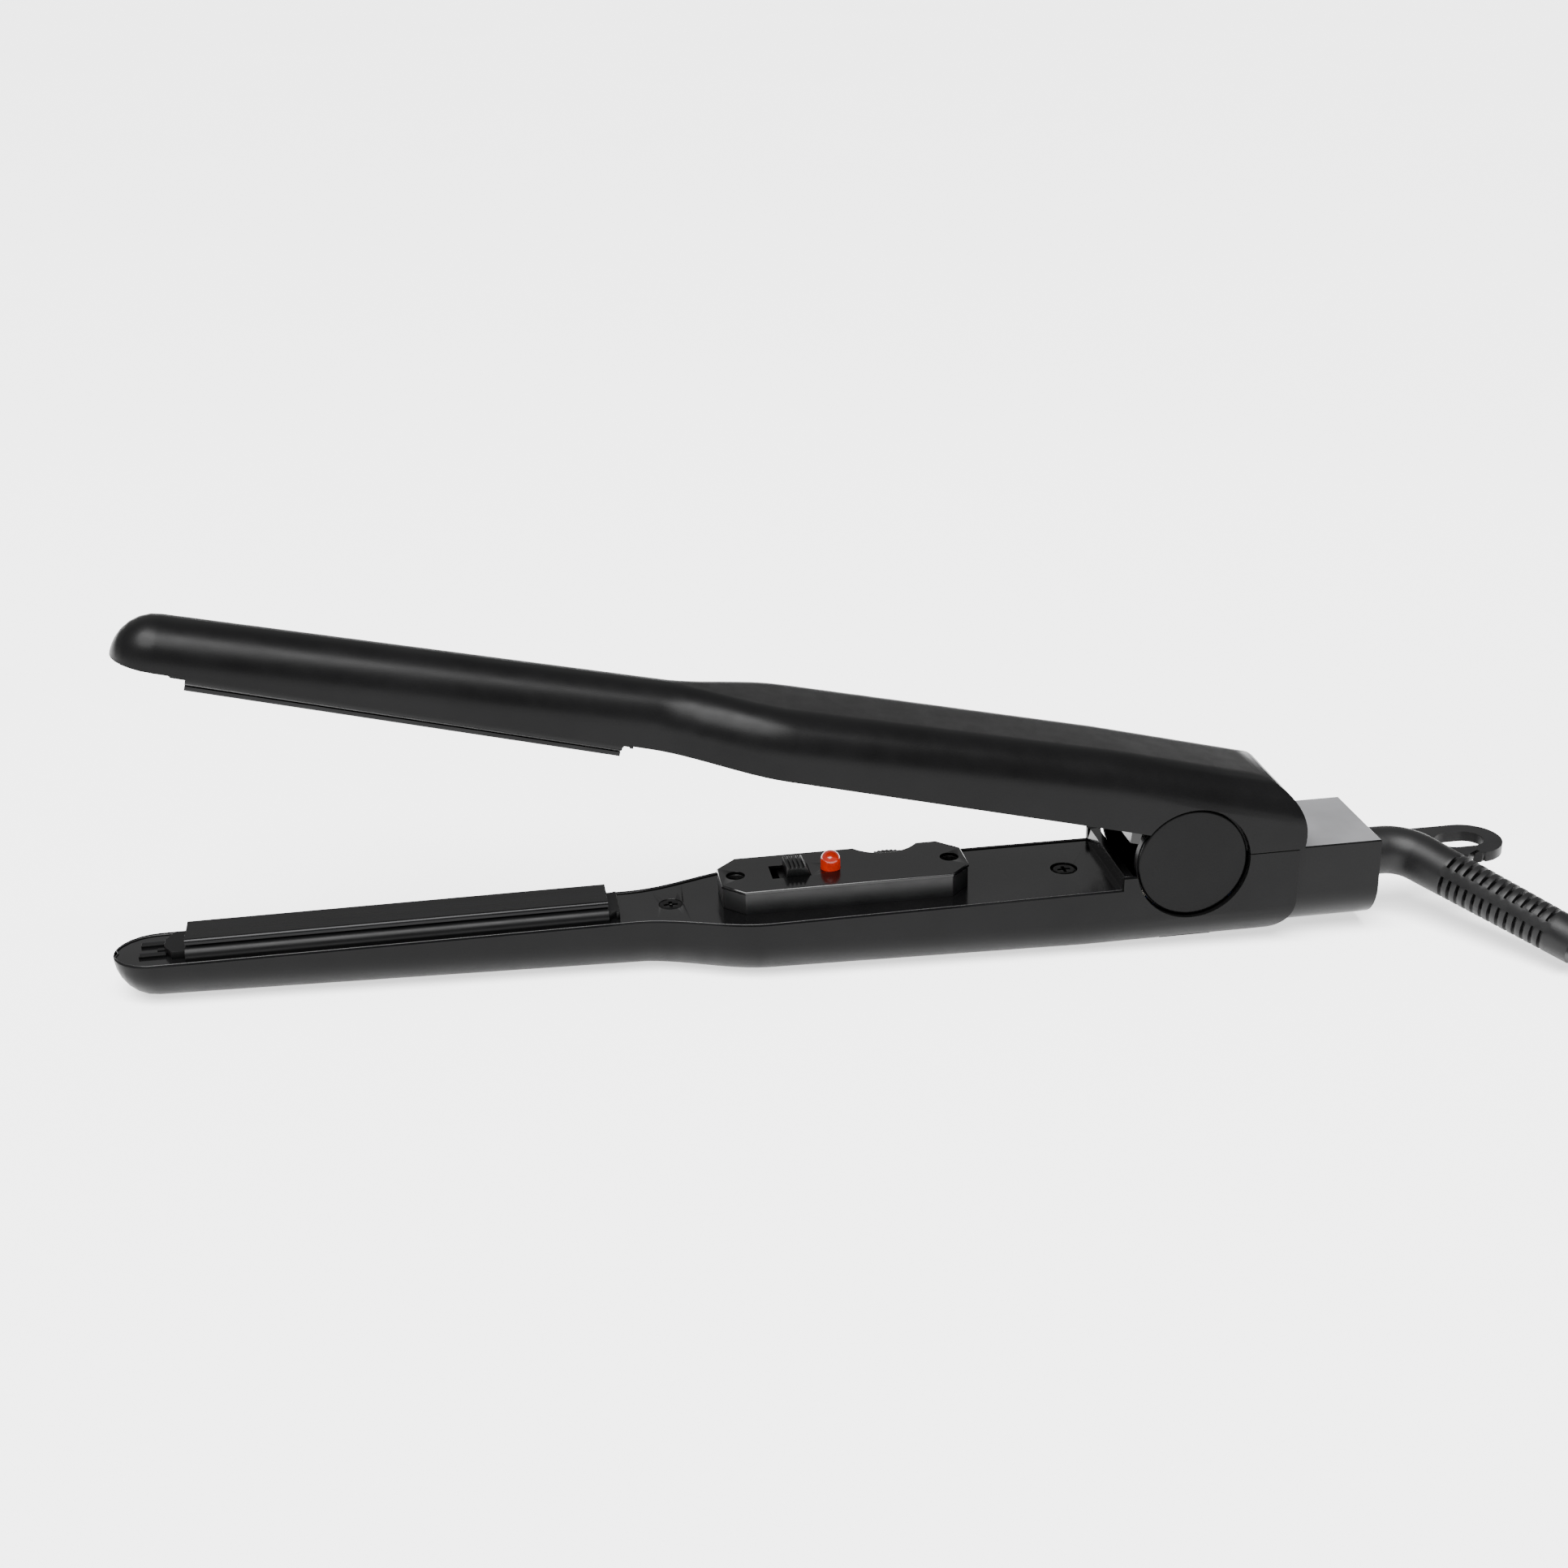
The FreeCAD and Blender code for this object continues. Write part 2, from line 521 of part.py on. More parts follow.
def board_parts():
    """Triac with its tab, controller and capacitor, all soldered on the board."""
    top = BOARD_Z + 1.6
    triac = box(18.0, 24.0, 6.6, 9.8, top, top + 1.9)
    chip = box(-1.0, 4.0, -9.0, -5.2, top, top + 1.2)
    capacitor = box(36.5, 38.5, -9.4, -1.4, top, top + 1.8)
    return Part.makeCompound([triac, chip, capacitor])


# ---- hinge ----

def hinge_pin():
    return axle(PIN_R, HINGE_X, HINGE_Z, -EAR_OUT + 0.1, EAR_OUT - 0.1)


def pivot_cap():
    """Round cap over the end of the hinge pin."""
    disc = axle(CAP_R, HINGE_X, HINGE_Z, EAR_OUT, CAP_OUT)
    outer = [e for e in disc.Edges if abs(e.CenterOfMass.y - CAP_OUT) < 0.01 and e.Length > CAP_R]
    return disc.makeFillet(0.5, outer)


def opening_spring():
    """Torsion spring around the pin. One leg stands on the lower arm's floor and one lifts the upper arm."""
    width = SPRING_TURNS * (SPRING_WIRE + 0.25)
    helix = Part.makeHelix(SPRING_WIRE + 0.25, width, SPRING_R)
    ring = Part.Wire(Part.makeCircle(SPRING_WIRE / 2, V(SPRING_R, 0, 0), Y))
    coil = helix.makePipeShell([ring], True, True)
    coil.rotate(V(0, 0, 0), X, -90)
    coil.rotate(V(0, 0, 0), Z, 180)
    coil.translate(V(HINGE_X, width / 2, HINGE_Z))
    leg_x = HINGE_X - SPRING_R
    low_leg = post(SPRING_WIRE / 2, leg_x, -width / 2, WALL + 0.15, HINGE_Z)
    high_leg = post(SPRING_WIRE / 2, leg_x, width / 2, HINGE_Z, SPRING_TOP_Z)
    return coil.fuse([low_leg, high_leg])


def hinge_leads():
    """The upper heater's leads where they cross the hinge."""
    leads = []
    for y in (-6.6, -7.7):
        points = [(HINGE_X - 22.0, y * 0.35, 8.0), (HINGE_X - 10.0, y * 0.8, 8.6), (HINGE_X - 4.5, y, 12.6),
                  (HINGE_X - 6.5, y, 20.5), (HINGE_X - 7.5, y * 0.95, 27.0), (HINGE_X - 9.5, y * 0.9, 33.0)]
        leads.append(tube(points, 0.9))
    return Part.makeCompound(leads)


# ---- tail and cord outlet ----

def rounded_bar(half, low, high, corner, x0, x1):
    bar = across(half, x0, x1, low, high)
    low_edges = [e for e in bar.Edges if abs(e.CenterOfMass.z - low) < 0.01]
    edges = [e for e in low_edges if abs(abs(e.CenterOfMass.y) - half) < 0.01]
    return bar.makeFillet(corner, edges)


def spigot(play):
    """The part of the tail block that the housing's rear wall holds."""
    return rounded_bar(10.2 - play, 1.9 + play, 18.0 - play, 7.5, 105.0, REAR_X)


def tail_block():
    block = rounded_bar(TAIL_HALF, 0.0, TAIL_Z, TAIL_CORNER, REAR_X, TAIL_X)
    free_edges = [e for e in block.Edges if abs(e.CenterOfMass.x - REAR_X) > 0.1]
    top_edges = [e for e in free_edges if e.CenterOfMass.z > TAIL_Z - 0.01]
    block = block.makeFillet(0.35, top_edges)
    block = block.fuse(spigot(0))
    block = block.cut(rounded_bar(8.4, 3.6, 17.2, 6.0, 100.0, TAIL_X - 3.0))
    return block.cut(rod(NECK_R + PIN_FIT, (100.0, 0, CORD_Z), X, 60.0)).removeSplitter()


def cord_boot():
    """Elbow that turns about the outlet, with a slotted strain relief and a flat hanging loop."""
    elbow = V(ELBOW_X, 0, CORD_Z)
    end = V(*BOOT_END) - V(SHIFT_X, 0, 0)
    end = FreeCAD.Placement(V(0, 0, 0), FreeCAD.Rotation(Y, LEAN), V(BELLY_END_X, 0, 0)).multVec(end)
    along = (end - elbow).normalize()
    turn = X.getAngle(along)
    reach = ELBOW_RADIUS * math.tan(turn / 2)
    first, last = elbow - X * reach, elbow + along * reach
    middle = elbow + (along - X).normalize() * (ELBOW_RADIUS / math.cos(turn / 2) - ELBOW_RADIUS)
    straight = Part.LineSegment(V(TAIL_X + 0.3, 0, CORD_Z), first).toShape()
    bend = Part.Wire([straight, Part.Arc(first, middle, last).toShape()])
    ring = Part.Wire(Part.makeCircle(BOOT_R0, V(TAIL_X + 0.3, 0, CORD_Z), X))
    stub = bend.makePipeShell([ring], True, False)
    length = (end - last).Length - BOOT_GAP
    cone = Part.makeCone(BOOT_R0, BOOT_R1, length, last, along)
    neck = rod(NECK_R, (TAIL_X - 5.4, 0, CORD_Z), X, 6.0)
    z0 = CORD_Z - LOOP_THICK / 2
    loop = stadium(LOOP_X0, LOOP_X1, LOOP_Y, LOOP_R, z0, z0 + LOOP_THICK)
    loop = loop.cut(stadium(LOOP_SLOT_X0, LOOP_X1, LOOP_Y, LOOP_SLOT_R, z0 - 1, z0 + 9))
    loop = loop.cut(box(0, ELBOW_X, -BIG, BIG, 0, BIG))
    body = join([stub, cone, neck, loop])
    ribs = []
    web = V(0, 0, 1).cross(along).normalize()
    for k in range(13):
        s = last + along * (13.0 - reach + 2.0 * k)
        groove = Part.makeCylinder(9.0, 0.8, s, along).cut(Part.makeCylinder(3.4, 0.8, s, along))
        ribs.append(groove.cut(web_bars(s, along, web)))
    return body.cut(ribs)


def web_bars(at, along, side):
    """The two ribs that run the length of the strain relief and are left uncut."""
    up = along.cross(side).normalize()
    middle = (side * 0.85 - up * 0.5).normalize()
    normal = along.cross(middle).normalize()
    a = at - along * 1.0 - normal * 1.1 - middle * 12
    corners = [a, a + normal * 2.2, a + normal * 2.2 + middle * 24, a + middle * 24, a]
    return Part.Face(Part.makePolygon(corners)).extrude(along * 3.0)


def swivel_retainer():
    """Clip on the boot's neck, behind the tail block's end wall."""
    ring = rod(4.9, (TAIL_X - 5.4, 0, CORD_Z), X, 2.1)
    return ring.cut(rod(NECK_R, (TAIL_X - 6.0, 0, CORD_Z), X, 4.0))


def mains_leads():
    """The cord's own cores, from the outlet to the board."""
    leads = []
    for y in (-1.3, 1.3):
        points = [(TAIL_X - 6.0, y, CORD_Z), (116.0, y, 10.5), (104.0, y * 1.8, 5.6), (88.0, y * 1.6, 4.6),
                  (68.0, y * 4.2, 5.4), (52.0, y * 4.2, 6.8), (44.5, y * 3.6, 8.2)]
        leads.append(tube(points, 1.4))
    return Part.makeCompound(leads)


# ---- cord on the table ----

def cord_hank(pressed_in):
    """Outer shape of the folded hank, with room for the tie and the two ends that go into it."""
    rings = []
    profile = HANK_PROFILE + [(-x, w) for x, w in reversed(HANK_PROFILE[:-1])]
    for dx, half in profile:
        x, r = HANK_X + dx, 2.6
        y0, y1 = HANK_Y - half, HANK_Y + half
        top = HANK_TOP if abs(dx) < 60 else HANK_TOP - r
        pts = [V(x, y0, r), V(x, y0 + r, 0.02), V(x, y1 - r, 0.02), V(x, y1, r),
               V(x, y1, top - r), V(x, y1 - r, top), V(x, y0 + r, top), V(x, y0, top - r)]
        rings.append(Part.makePolygon(pts + pts[:1]))
    return Part.makeLoft(rings, True, True).cut(pressed_in)


def hank_tie():
    """Flat band around the middle of the hank."""
    x0, x1 = HANK_X - TIE_WIDTH / 2, HANK_X + TIE_WIDTH / 2
    y0, y1 = HANK_Y - TIE_HALF, HANK_Y + TIE_HALF
    outer = box(x0, x1, y0 - TIE_THICK, y1 + TIE_THICK, 0.0, HANK_TOP + 0.2 + TIE_THICK)
    inner = box(x0 - 1, x1 + 1, y0, y1, 0.6, HANK_TOP + 0.2)
    edges = [e for e in outer.Edges if abs(e.Length - TIE_WIDTH) < 0.01]
    return outer.makeFillet(2.4, edges).cut(inner)


def plug_body():
    x0, y, z = CORD_TAIL[-1]
    relief = Part.makeCone(CORD_D / 2 + 0.9, 5.6, PLUG_RELIEF, V(x0, y, z), X)
    x1 = x0 + PLUG_RELIEF
    half, t = PLUG_HALF, PLUG_THICK / 2
    outline = [(x1, y - 8.5), (x1 + PLUG_LENGTH * 0.45, y - half), (x1 + PLUG_LENGTH, y - half),
               (x1 + PLUG_LENGTH, y + half), (x1 + PLUG_LENGTH * 0.45, y + half), (x1, y + 8.5)]
    body = prism(outline, z - t, z + t)
    body = body.makeFillet(2.2, [e for e in body.Edges if abs(e.CenterOfMass.x - x1 - PLUG_LENGTH) > 0.01])
    return body.fuse(relief)


def plug_pins():
    x0, y, z = CORD_TAIL[-1]
    face_x = x0 + PLUG_RELIEF + PLUG_LENGTH
    pins = []
    for dy in (-PLUG_PIN_PITCH / 2, PLUG_PIN_PITCH / 2):
        pin = rod(PLUG_PIN_R, (face_x, y + dy, z), X, PLUG_PIN_LENGTH)
        tip = [e for e in pin.Edges if abs(e.CenterOfMass.x - face_x - PLUG_PIN_LENGTH) < 0.01]
        pins.append(pin.makeFillet(1.2, tip))
    return Part.makeCompound(pins)


# ---- all nodes ----

def tool_nodes():
    carrier, plate, film = plate_carrier(), heat_plate(), heater()
    cap = pivot_cap()
    return {
        "lower_housing": lower_housing(),
        "lower_inner_panel": lower_inner_panel(),
        "lower_plate_carrier": carrier,
        "lower_heat_plate": plate,
        "lower_heater": film,
        "lower_heater_leads": heater_leads(2.0),
        "thermal_fuse": thermal_fuse(),
        "lower_panel_screws": panel_screws(),
        "switch_box_base": switch_box_base(),
        "switch_box_cover": switch_box_cover(),
        "switch_box_screws": box_screws(),
        "power_lamp": power_lamp(),
        "slide_switch": slide_switch(),
        "switch_knob": switch_knob(),
        "temperature_wheel": temperature_wheel(),
        "wheel_shaft": wheel_shaft(),
        "potentiometer": potentiometer(),
        "circuit_board": circuit_board(),
        "board_parts": board_parts(),
        "hinge_pin": hinge_pin(),
        "opening_spring": opening_spring(),
        "hinge_leads": hinge_leads(),
        "mains_leads": mains_leads(),
        "tail_block": tail_block(),
        "cord_boot": cord_boot(),
        "swivel_retainer": swivel_retainer(),
        "upper_housing": to_upper(upper_housing()),
        "upper_inner_panel": to_upper(upper_inner_panel()),
        "upper_plate_carrier": to_upper(carrier),
        "upper_heat_plate": to_upper(plate),
        "upper_heater": to_upper(film),
        "upper_heater_leads": to_upper(heater_leads(40.0)),
        "upper_panel_screws": to_upper(panel_screws()),
        "near_pivot_cap": cap.mirror(V(0, 0, 0), Y),
        "far_pivot_cap": cap,
    }


def table_nodes():
    lead, tail, tie = tube(CORD_ROUTE, CORD_D, "mains_cord"), tube(CORD_TAIL, CORD_D, "cord_tail"), hank_tie()
    return {
        "mains_cord": lead,
        "cord_tail": tail,
        "cord_hank": cord_hank([lead, tail, tie]),
        "hank_tie": tie,
        "plug_body": plug_body(),
        "plug_pins": plug_pins(),
    }


def main():
    os.makedirs("parts", exist_ok=True)
    shapes = {name: place(shape) for name, shape in tool_nodes().items()}
    shapes.update(table_nodes())
    for name, shape in shapes.items():
        around = shape.BoundBox
        print(f"{name}: solids {len(shape.Solids)}, valid {shape.isValid()}, volume {shape.Volume:.1f}, "
              f"x {around.XMin:.1f} {around.XMax:.1f}, y {around.YMin:.1f} {around.YMax:.1f}, "
              f"z {around.ZMin:.1f} {around.ZMax:.1f}")
        shape.exportStep(f"parts/{name}.step")


main()
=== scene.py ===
"""Looks of a slim black hair iron that lies open on a pale table, with its cord put away beside it."""
import bpy
import bmesh
import json
import math
from mathutils import Matrix, Vector
from mathutils.kdtree import KDTree


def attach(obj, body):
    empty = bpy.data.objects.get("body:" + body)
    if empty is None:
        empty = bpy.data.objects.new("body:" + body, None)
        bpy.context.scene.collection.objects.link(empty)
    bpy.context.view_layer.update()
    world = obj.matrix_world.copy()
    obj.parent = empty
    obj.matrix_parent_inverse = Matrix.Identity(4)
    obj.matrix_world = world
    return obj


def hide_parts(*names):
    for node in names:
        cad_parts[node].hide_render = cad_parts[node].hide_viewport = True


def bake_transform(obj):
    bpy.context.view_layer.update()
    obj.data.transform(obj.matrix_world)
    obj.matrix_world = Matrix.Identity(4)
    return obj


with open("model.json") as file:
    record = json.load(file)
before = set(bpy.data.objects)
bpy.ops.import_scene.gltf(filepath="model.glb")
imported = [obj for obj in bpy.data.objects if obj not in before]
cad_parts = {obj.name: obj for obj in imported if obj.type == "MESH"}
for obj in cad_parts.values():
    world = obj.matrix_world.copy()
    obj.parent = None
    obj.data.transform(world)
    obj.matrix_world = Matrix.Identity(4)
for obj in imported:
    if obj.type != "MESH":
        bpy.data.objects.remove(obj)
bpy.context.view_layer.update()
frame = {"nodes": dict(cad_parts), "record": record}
NODES = frame["nodes"]
MM = 0.001

# camera, in mm
LENS, SENSOR = 50.53, 36.0
CAMERA_AT = (-64.4, -412.2, 212.8)
CAMERA_FORWARD = (0.15220, 0.90965, -0.38650)
CAMERA_RIGHT = (0.98679, -0.16183, 0.00770)

# stage and light, in metres and Blender's own units of light
FLOOR_HALF = 30.0
FLOOR_GLOW = 1.3
ROOM_LIGHT = 0.5
SKY_TOWARDS, SKY_WIDTH, SKY_POWER = (-0.25, -0.4, 1.0), 50, 9.0
SOFTBOX_AT, SOFTBOX_TARGET, SOFTBOX_SIZE, SOFTBOX_POWER = (-0.1, -0.25, 1.0), (0, 0, 0.02), (1.1, 0.22), 9

# the arms' outline, in mm, in a frame along the lower arm
TIP_X, NOSE, STEP_X, RIM_Z = -132.0, 8.6, 74.7, 14.6
FRONT_HALF, GRIP_HALF, HINGE_HALF, FLARE_START_X = 8.0, 14.6, 14.0, -27.0
HINGE_X, HINGE_Z, OPEN_ANGLE = 89.75, 19.5, 14.15
LEAN, LEAN_X, SHIFT_X = 1.7, 68.0, 0.19
BEAD_INSET, BEAD_R = 0.95, 0.14
NOSE_ANGLES = (18, 32, 48, 64, 80)      # in degrees, round the nose
NECK_STEP, FLARE_STEP = 12, 2.7         # between points along the straight neck and the flare
GRIP_POINTS = [20, 40, 60, STEP_X - 0.2]

# rounding of sharp edges, in mm unless said
EDGE_MM = {"lower_housing": 0.3, "upper_housing": 0.3, "tail_block": 0.25, "cord_boot": 0.2,
           "plug_body": 0.3, "switch_box_cover": 0.12, "switch_box_base": 0.2,
           "lower_heat_plate": 0.12, "upper_heat_plate": 0.12}
EDGE_DEFAULT = 0.1
EDGE_ANGLE = 34                         # in degrees; flatter edges stay as they are
WELD_GAP = 0.002
FACE_UP = 0.95                          # upward share of a normal, above which a face is a top

# mains cord, in mm: the same route as the solids
CORD_NODES = ("mains_cord", "cord_tail", "cord_hank")
CORD_D = 5.5
LEAD_LENGTH = 56.0                      # between the boot and the hank
CORD_ROUTE = [(166.0, -36.0, 6.8), (172.7, -46.0, 4.7), (183.5, -54.5, 3.2), (197.0, -58.4, 2.8)]
CORD_TAIL = [(226.5, -50.5, 20.8), (236.5, -43.8, 22.3), (251.5, -38.0, 23.6), (264.0, -38.0, 23.6)]
HANK_X, HANK_Y = 252.0, -34.0
HANK_HALF_LENGTH, HANK_LOBE, HANK_WAIST = 60.0, 24.7, 10.0
HANK_PITCH, LAYER_PITCH = 5.6, 5.5      # distance between strands, across and up
LOBE_STEP = 22.5                        # degrees between points round a lobe
DRIFT_FROM = 19                         # point of a turn where it starts to drift
HANK_LOW = 2.8
# each turn's ring from outside and its layer; the last one is only reached
TURNS = [(0, 0), (1, 0), (1, 1), (0, 1), (0, 2), (1, 2), (1, 3)]


# ---- small helpers ----

def mm(points):
    return [Vector(p) * MM for p in points]


# ---- materials ----

def grey(v, tint=1.04):
    return (v, v, v * tint)


# slot, node or piece: name, dark and light colour, range of roughness, grain size and depth in mm,
# specular level
MOULDED = {
    "soft_black": ("soft_touch", grey(0.0018), grey(0.0028), (0.3, 0.38), 0.16, 0.006, 0.09),
    "panel_black": ("satin_panel", grey(0.002), grey(0.003), (0.13, 0.2), 0.5, 0.002, 0.3),
    "carrier_black": ("carrier_plastic", grey(0.0018), grey(0.0026), (0.3, 0.4), 0.25, 0.004, 0.1),
    "heater_ceramic": ("alumina", (0.72, 0.7, 0.64), (0.86, 0.84, 0.79), (0.5, 0.7), 0.2, 0.01, 0.5),
    "knob_black": ("knob_plastic", grey(0.0016), grey(0.0024), (0.3, 0.4), 0.2, 0.01, 0.25),
    "board_green": ("solder_mask", (0.01, 0.09, 0.03), (0.02, 0.14, 0.05), (0.25, 0.4), 1.2, 0.02, 0.5),
    "chip_black": ("chip_epoxy", grey(0.008), grey(0.014), (0.5, 0.65), 0.12, 0.01, 0.5),
    "wire_pvc": ("core_pvc", (0.01, 0.05, 0.22), (0.02, 0.08, 0.3), (0.3, 0.42), 0.4, 0.01, 0.5),
    "boot_rubber": ("boot_rubber", grey(0.003), grey(0.005), (0.38, 0.48), 0.18, 0.008, 0.18),
    "retainer_nylon": ("nylon", (0.6, 0.6, 0.56), (0.72, 0.72, 0.68), (0.4, 0.5), 0.3, 0.01, 0.5),
    "cap_black": ("cap_plastic", grey(0.0016), grey(0.0024), (0.3, 0.38), 0.16, 0.005, 0.08),
    "cord_black": ("cord_pvc", grey(0.003), grey(0.005), (0.38, 0.5), 0.5, 0.012, 0.2),
    "tie_black": ("tie_rubber", grey(0.005), grey(0.008), (0.55, 0.7), 0.25, 0.02, 0.2),
    "plug_black": ("plug_pvc", grey(0.003), grey(0.005), (0.35, 0.5), 0.3, 0.012, 0.2),
    "tail_block": ("tail_side", grey(0.002), grey(0.003), (0.16, 0.24), 0.5, 0.001, 0.1),
    # tail block's top: glossier, and its colour painted light grey as a painted reflection
    "tail_top_painted_reflection": ("tail_gloss_painted_reflection", grey(0.1), grey(0.13), (0.1, 0.16), 0.5, 0.001, 0.75),
    "switch_box_base": ("box_satin", grey(0.004), grey(0.006), (0.32, 0.42), 0.3, 0.004, 0.3),
    # rim bead: the housing's black lightened, as a painted highlight along the rim
    "rim_lip_painted_highlight": ("rim_lip_painted_highlight", grey(0.006), grey(0.01), (0.25, 0.32), 0.3, 0.002, 0.3),
}

# slot: name, dark and light colour, range of roughness, stretch of the lines
METALS = {
    "fuse_metal": ("plated_metal", (0.5, 0.48, 0.42), (0.62, 0.6, 0.55), (0.22, 0.4), (1, 8, 8)),
    "screw_steel": ("blackened_steel", grey(0.004), grey(0.01), (0.35, 0.5), (4, 4, 1)),
    "shaft_metal": ("turned_shaft", grey(0.5), grey(0.62), (0.2, 0.35), (1, 1, 12)),
    "pin_steel": ("ground_pin", grey(0.5), grey(0.62), (0.15, 0.28), (1, 12, 1)),
    "spring_steel": ("spring_wire", grey(0.28), grey(0.42), (0.25, 0.4), (3, 3, 3)),
    "pin_brass": ("nickel_pin", (0.6, 0.58, 0.53), (0.72, 0.7, 0.65), (0.14, 0.26), (1, 9, 9)),
}


class Shader:
    """A Principled material with a few named building blocks."""

    def __init__(self, name, **inputs):
        self.mat = bpy.data.materials.new(name)
        self.mat.use_nodes = True
        self.tree = self.mat.node_tree
        self.bsdf = self.tree.nodes["Principled BSDF"]
        for key, value in inputs.items():
            self.bsdf.inputs[key.replace("_", " ")].default_value = value
        self.coords = self.tree.nodes.new("ShaderNodeTexCoord").outputs["Object"]

    def noise(self, scale, detail=3.0, stretch=(1, 1, 1)):
        mapping = self.tree.nodes.new("ShaderNodeMapping")
        mapping.inputs["Scale"].default_value = stretch
        self.tree.links.new(self.coords, mapping.inputs["Vector"])
        node = self.tree.nodes.new("ShaderNodeTexNoise")
        node.inputs["Scale"].default_value = scale
        node.inputs["Detail"].default_value = detail
        self.tree.links.new(mapping.outputs["Vector"], node.inputs["Vector"])
        return node.outputs["Fac"]

    def spread(self, value, low, high):
        """Maps a texture's middle range onto low..high."""
        node = self.tree.nodes.new("ShaderNodeMapRange")
        node.inputs["From Min"].default_value = 0.3
        node.inputs["From Max"].default_value = 0.7
        node.inputs["To Min"].default_value = low
        node.inputs["To Max"].default_value = high
        self.tree.links.new(value, node.inputs["Value"])
        return node.outputs["Result"]

    def colour(self, value, dark, light):
        node = self.tree.nodes.new("ShaderNodeValToRGB")
        node.color_ramp.elements[0].position = 0.35
        node.color_ramp.elements[1].position = 0.65
        node.color_ramp.elements[0].color = (*dark, 1)
        node.color_ramp.elements[1].color = (*light, 1)
        self.tree.links.new(value, node.inputs["Fac"])
        self.tree.links.new(node.outputs["Color"], self.bsdf.inputs["Base Color"])

    def roughness(self, value, low, high):
        self.tree.links.new(self.spread(value, low, high), self.bsdf.inputs["Roughness"])

    def bump(self, value, height_mm, strength=1.0):
        node = self.tree.nodes.new("ShaderNodeBump")
        node.inputs["Strength"].default_value = strength
        node.inputs["Distance"].default_value = height_mm * MM
        self.tree.links.new(value, node.inputs["Height"])
        self.tree.links.new(node.outputs["Normal"], self.bsdf.inputs["Normal"])


def moulded(name, dark, light, rough, grain_mm, depth_mm, specular):
    """Moulded plastic or rubber: cloudy colour, patchy gloss and an eroded grain."""
    s = Shader(name, Specular_IOR_Level=specular)
    s.colour(s.noise(60, 4), dark, light)
    s.roughness(s.noise(220, 5), *rough)
    s.bump(s.noise(1.0 / (grain_mm * MM), 2), depth_mm)
    return s.mat


def metal(name, dark, light, rough, stretch, depth_mm=0.002):
    """Drawn or turned metal: fine lines along one direction."""
    s = Shader(name, Metallic=1.0)
    lines = s.noise(900, 3, stretch)
    s.colour(lines, dark, light)
    s.roughness(lines, *rough)
    s.bump(lines, depth_mm)
    return s.mat


def woven_sleeve():
    s = Shader("woven_sleeve")
    s.colour(s.noise(700, 2), (0.5, 0.47, 0.4), (0.78, 0.75, 0.67))
    s.roughness(s.noise(500), 0.7, 0.9)
    s.bump(s.noise(2600, 1, (0.4, 1, 1)), 0.06)
    return s.mat


def lamp_lens():
    s = Shader("lamp_lens", Coat_Weight=0.3, Coat_Roughness=0.08, Emission_Strength=0.22)
    s.bsdf.inputs["Emission Color"].default_value = (1.0, 0.03, 0.0, 1)
    s.colour(s.noise(450, 2), (0.22, 0.007, 0.001), (0.32, 0.012, 0.002))
    s.roughness(s.noise(900, 2), 0.12, 0.22)
    s.bump(s.noise(1800, 1), 0.004)
    return s.mat


def plate_coating():
    """Dark coated aluminium with faint lengthwise drawing lines."""
    s = Shader("plate_coating", Metallic=0.85)
    lines = s.noise(500, 4, (0.03, 1, 1))
    s.colour(lines, grey(0.005), grey(0.009))
    s.roughness(lines, 0.22, 0.32)
    s.bump(lines, 0.0015)
    return s.mat


def make_materials():
    materials = {key: moulded(*values) for key, values in MOULDED.items()}
    materials.update({key: metal(*values) for key, values in METALS.items()})
    materials["plate_metal"] = plate_coating()
    materials["wire_sleeve"] = woven_sleeve()
    materials["lamp_red"] = lamp_lens()
    return materials


# ---- CAD pieces that are shown as they are ----

def finish_node(node, materials, slots):
    """Rounds the sharp edges a little and shades the rest smooth."""
    obj = NODES[node]
    obj.data.materials.clear()
    obj.data.materials.append(materials.get(node) or materials[slots[node]])
    obj.data.shade_smooth()
    weld = obj.modifiers.new("weld", "WELD")
    weld.merge_threshold = WELD_GAP * MM
    edge = obj.modifiers.new("edge", "BEVEL")
    edge.width = EDGE_MM.get(node, EDGE_DEFAULT) * MM
    edge.segments = 2
    edge.limit_method = "ANGLE"
    edge.angle_limit = math.radians(EDGE_ANGLE)
    edge.use_clamp_overlap = True
    shade = obj.modifiers.new("shade", "WEIGHTED_NORMAL")
    shade.weight = 80


def glossy_painted_reflection_top(obj, material):
    """The tail block's top face is polished, unlike its sides, and its colour is a much lighter grey as a
    painted reflection.
    """
    obj.data.materials.append(material)
    for face in obj.data.polygons:
        if face.normal.z > FACE_UP:
            face.material_index = 1


def flex_node(node):
    """Shows a bending CAD piece by a plain copy of its mesh, which does not bend, and hides the piece
    itself.
    """
    source = NODES[node]
    mesh = source.data.copy()
    mesh.transform(source.matrix_world)
    obj = bpy.data.objects.new(node + "_flex", mesh)
    bpy.context.scene.collection.objects.link(obj)
    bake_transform(obj)
    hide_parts(node)
    return obj


def flex_pieces():
    """The spring and the leads cross the hinge; each is shown by a plain copy of its mesh, which does not
    turn with the upper arm.
    """
    for node in ("opening_spring", "hinge_leads"):
        flex_node(node)


# ---- rim beads ----

def turned(degrees, x, z):
    at = Vector((x, 0, z))
    return Matrix.Translation(at) @ Matrix.Rotation(math.radians(degrees), 4, "Y") @ Matrix.Translation(-at)


LOWER_ARM = Matrix.Translation((SHIFT_X, 0, 0)) @ turned(-LEAN, LEAN_X, 0)
UPPER_ARM = (LOWER_ARM @ turned(OPEN_ANGLE, HINGE_X, HINGE_Z) @ Matrix.Translation((0, 0, 2 * HINGE_Z))
             @ Matrix.Scale(-1, 4, (0, 0, 1)))


